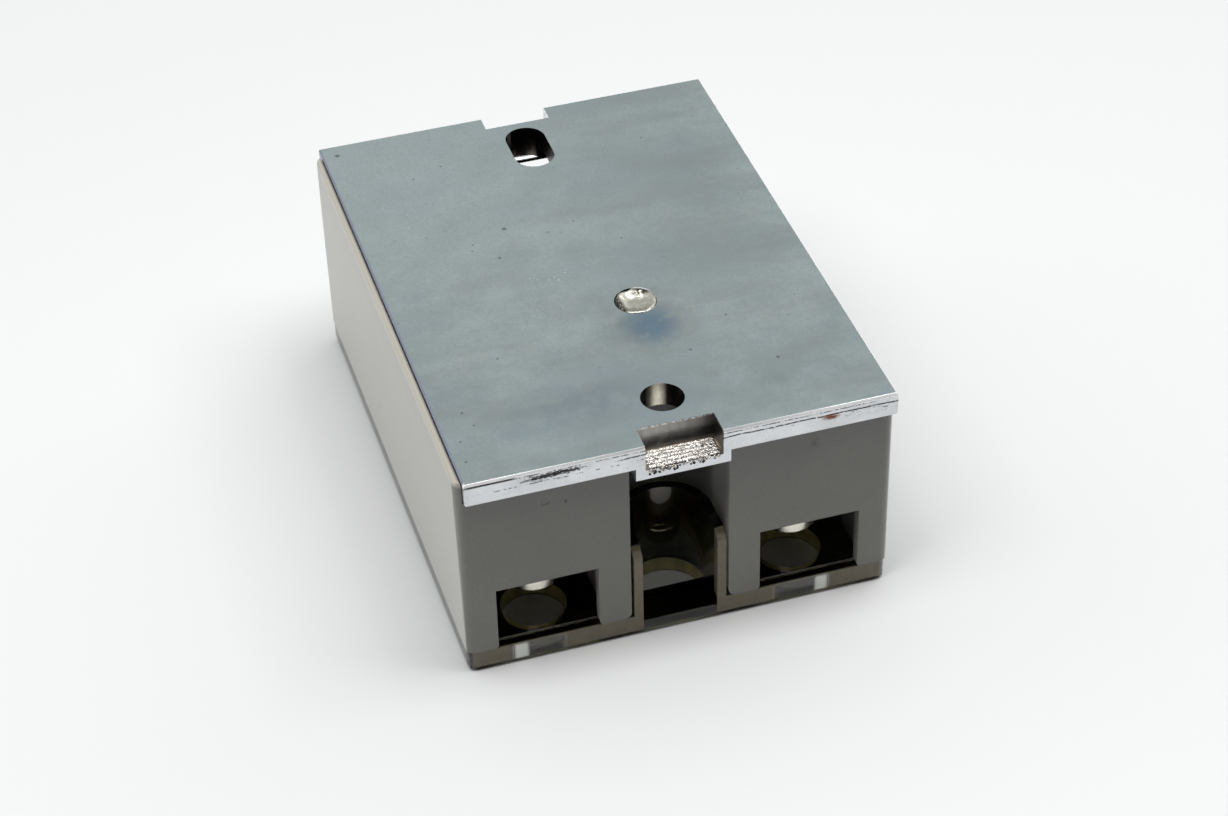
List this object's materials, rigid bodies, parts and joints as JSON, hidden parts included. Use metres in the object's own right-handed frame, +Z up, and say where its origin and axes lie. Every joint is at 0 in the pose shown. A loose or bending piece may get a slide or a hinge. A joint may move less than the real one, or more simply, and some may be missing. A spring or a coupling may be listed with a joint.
{
  "type": "solid state relay",
  "caption": "Panel-mount solid state relay with a metal base plate, grey housing, screw terminals and a smoky clear terminal cover, standing upside down on its cover.",
  "frame": {"origin": "middle of the footprint, on the surface that the terminal cover lies on", "axes": "+Z up to the base plate, +Y from the input end to the load end, +X to the right when seen from the input end"},
  "size_m": [0.0458, 0.062, 0.0252],
  "materials": {
    "clear_cover": "smoky clear polycarbonate, smooth",
    "housing_plastic": "light grey moulded plastic, fine spark-eroded texture",
    "zinc_plate": "bluish zinc plating on sheared steel, mottled and lightly scratched",
    "rivet_metal": "bright, dished",
    "ceramic": "sintered, matt",
    "silicon": "polished",
    "copper": "bare copper, lightly tarnished",
    "resin": "cast epoxy resin",
    "board": "glass-fibre laminate with solder mask",
    "component_black": "moulded epoxy",
    "capacitor_body": "dipped film capacitor box",
    "resistor_body": "lacquered",
    "varistor_body": "dipped epoxy",
    "led_body": "diffused epoxy lens",
    "light_pipe_plastic": "clear acrylic",
    "nut_steel": "zinc plated steel",
    "terminal_brass": "tin-plated brass",
    "clamp_steel": "nickel plated, pressed",
    "screw_steel": "nickel plated, bright"
  },
  "bodies": {
    "cover": {"terminal_cover": "clear_cover"},
    "relay": {"housing": "housing_plastic", "base_plate": "zinc_plate", "base_rivet": "rivet_metal", "ceramic_substrate": "ceramic", "thyristor_chips": "silicon", "load_straps": "copper", "potting_block": "resin", "circuit_board": "board", "optocoupler": "component_black", "snubber_capacitor": "capacitor_body", "snubber_resistor": "resistor_body", "varistor": "varistor_body", "input_resistors": "resistor_body", "trigger_transistor": "component_black", "indicator_led": "led_body", "light_pipe": "light_pipe_plastic", "input_leads": "copper", "terminal_nuts": "nut_steel", "input_terminal_left": "terminal_brass", "input_terminal_right": "terminal_brass", "load_terminal_left": "terminal_brass", "load_terminal_right": "terminal_brass"},
    "input_clamp_left": {"input_clamp_left": "clamp_steel"},
    "input_screw_left": {"input_screw_left": "screw_steel"},
    "input_clamp_right": {"input_clamp_right": "clamp_steel"},
    "input_screw_right": {"input_screw_right": "screw_steel"},
    "load_clamp_left": {"load_clamp_left": "clamp_steel"},
    "load_screw_left": {"load_screw_left": "screw_steel"},
    "load_clamp_right": {"load_clamp_right": "clamp_steel"},
    "load_screw_right": {"load_screw_right": "screw_steel"}
  },
  "joints": [
    {"name": "cover_release", "type": "slide", "parent": "cover", "child": "relay", "axis": [0, 0, 1], "range_m": [0, 0.016]},
    {"name": "input_clamp_left_slide", "type": "slide", "parent": "relay", "child": "input_clamp_left", "axis": [0, 0, -1], "range_m": [0, 0.0015]},
    {"name": "input_screw_left_turn", "type": "hinge", "parent": "input_clamp_left", "child": "input_screw_left", "pos_m": [-0.014, -0.0241, 0.0083], "axis": [0, 0, -1], "range_deg": [0, 1081]},
    {"name": "input_clamp_right_slide", "type": "slide", "parent": "relay", "child": "input_clamp_right", "axis": [0, 0, -1], "range_m": [0, 0.0015]},
    {"name": "input_screw_right_turn", "type": "hinge", "parent": "input_clamp_right", "child": "input_screw_right", "pos_m": [0.014, -0.0241, 0.0083], "axis": [0, 0, -1], "range_deg": [0, 1081]},
    {"name": "load_clamp_left_slide", "type": "slide", "parent": "relay", "child": "load_clamp_left", "axis": [0, 0, -1], "range_m": [0, 0.0021]},
    {"name": "load_screw_left_turn", "type": "hinge", "parent": "load_clamp_left", "child": "load_screw_left", "pos_m": [-0.014, 0.0235, 0.0083], "axis": [0, 0, -1], "range_deg": [0, 1081]},
    {"name": "load_clamp_right_slide", "type": "slide", "parent": "relay", "child": "load_clamp_right", "axis": [0, 0, -1], "range_m": [0, 0.0021]},
    {"name": "load_screw_right_turn", "type": "hinge", "parent": "load_clamp_right", "child": "load_screw_right", "pos_m": [0.014, 0.0235, 0.0083], "axis": [0, 0, -1], "range_deg": [0, 1081]}
  ],
  "couplings": [
    {"joint": "input_screw_left_turn", "follows": "input_clamp_left_slide", "rad_per_m": 12566},
    {"joint": "input_screw_right_turn", "follows": "input_clamp_right_slide", "rad_per_m": 12566},
    {"joint": "load_screw_left_turn", "follows": "load_clamp_left_slide", "rad_per_m": 8976},
    {"joint": "load_screw_right_turn", "follows": "load_clamp_right_slide", "rad_per_m": 8976}
  ]
}
